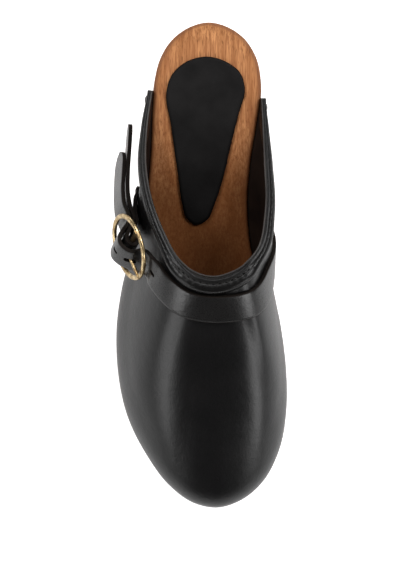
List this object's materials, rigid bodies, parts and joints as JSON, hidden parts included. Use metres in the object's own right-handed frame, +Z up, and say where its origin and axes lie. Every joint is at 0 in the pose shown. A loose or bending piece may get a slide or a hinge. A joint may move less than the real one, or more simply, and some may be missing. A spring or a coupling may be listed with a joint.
{
  "type": "heeled wooden clog",
  "caption": "Right-foot wooden clog: carved heeled sole, nailed leather upper with padded collar, instep strap and ring buckle.",
  "frame": {"origin": "on the ground, at the middle of the heel's ground contact", "axes": "+Z up, toe towards -Y, heel towards +Y, inner (medial) side +X, outer side with the buckle -X"},
  "size_m": [0.0904, 0.2455, 0.1009],
  "materials": {
    "wood": "sanded and clear-lacquered, satin",
    "rubber": "matt black moulded rubber",
    "pad_leather": "black, matt",
    "upper_leather": "black, smooth and polished",
    "lining_leather": "dark brown, unpolished",
    "stiffener": "impregnated felt, hidden",
    "foam": "foam strip, hidden",
    "strap_leather": "black with raw brown edges",
    "brass": "pale, antiqued",
    "dark_steel": "blackened",
    "steel": "plain"
  },
  "bodies": {
    "shoe": {"wooden_sole": "wood", "forefoot_outsole": "rubber", "heel_lift": "rubber", "heel_pad": "pad_leather", "vamp": "upper_leather", "upper_lining": "lining_leather", "toe_puff": "stiffener", "collar_band": "upper_leather", "collar_foam": "foam", "instep_strap": "strap_leather", "buckle_strap": "strap_leather", "upper_nail_01": "dark_steel", "upper_nail_02": "dark_steel", "upper_nail_03": "dark_steel", "upper_nail_04": "dark_steel", "upper_nail_05": "dark_steel", "upper_nail_06": "dark_steel", "upper_nail_07": "dark_steel", "upper_nail_08": "dark_steel", "upper_nail_09": "dark_steel", "upper_nail_10": "dark_steel", "upper_nail_11": "dark_steel", "upper_nail_12": "dark_steel", "upper_nail_13": "dark_steel", "upper_nail_14": "dark_steel", "upper_nail_15": "dark_steel", "upper_nail_16": "dark_steel", "upper_nail_17": "dark_steel", "upper_nail_18": "dark_steel", "upper_nail_19": "dark_steel", "upper_nail_20": "dark_steel", "upper_nail_21": "dark_steel", "upper_nail_22": "dark_steel", "upper_nail_23": "dark_steel", "upper_nail_24": "dark_steel", "instep_strap_nail_01": "dark_steel", "instep_strap_nail_02": "dark_steel", "buckle_strap_nail_01": "dark_steel", "buckle_strap_nail_02": "dark_steel", "heel_nail_1": "steel", "heel_nail_2": "steel", "heel_nail_3": "steel", "heel_nail_4": "steel"},
    "buckle": {"buckle_frame": "brass"},
    "prong": {"buckle_prong": "brass"},
    "strap_tail": {"instep_strap_tail": "strap_leather"}
  },
  "joints": [
    {"name": "buckle_swing", "type": "hinge", "parent": "shoe", "child": "buckle", "pos_m": [-0.0389, -0.0862, 0.0718], "axis": [-0.2767, -0.4717, -0.8372], "range_deg": [-2.5, 2.5]},
    {"name": "prong_swing", "type": "hinge", "parent": "buckle", "child": "prong", "pos_m": [-0.0389, -0.0862, 0.0718], "axis": [-0.2767, -0.4717, -0.8372], "range_deg": [0, 5]},
    {"name": "strap_tail_flex", "type": "hinge", "parent": "shoe", "child": "strap_tail", "pos_m": [-0.04295, -0.06866, 0.06326], "axis": [0.2767, 0.4717, 0.8372], "range_deg": [0, 30], "stiffness_Nm_per_rad": 0.01}
  ]
}
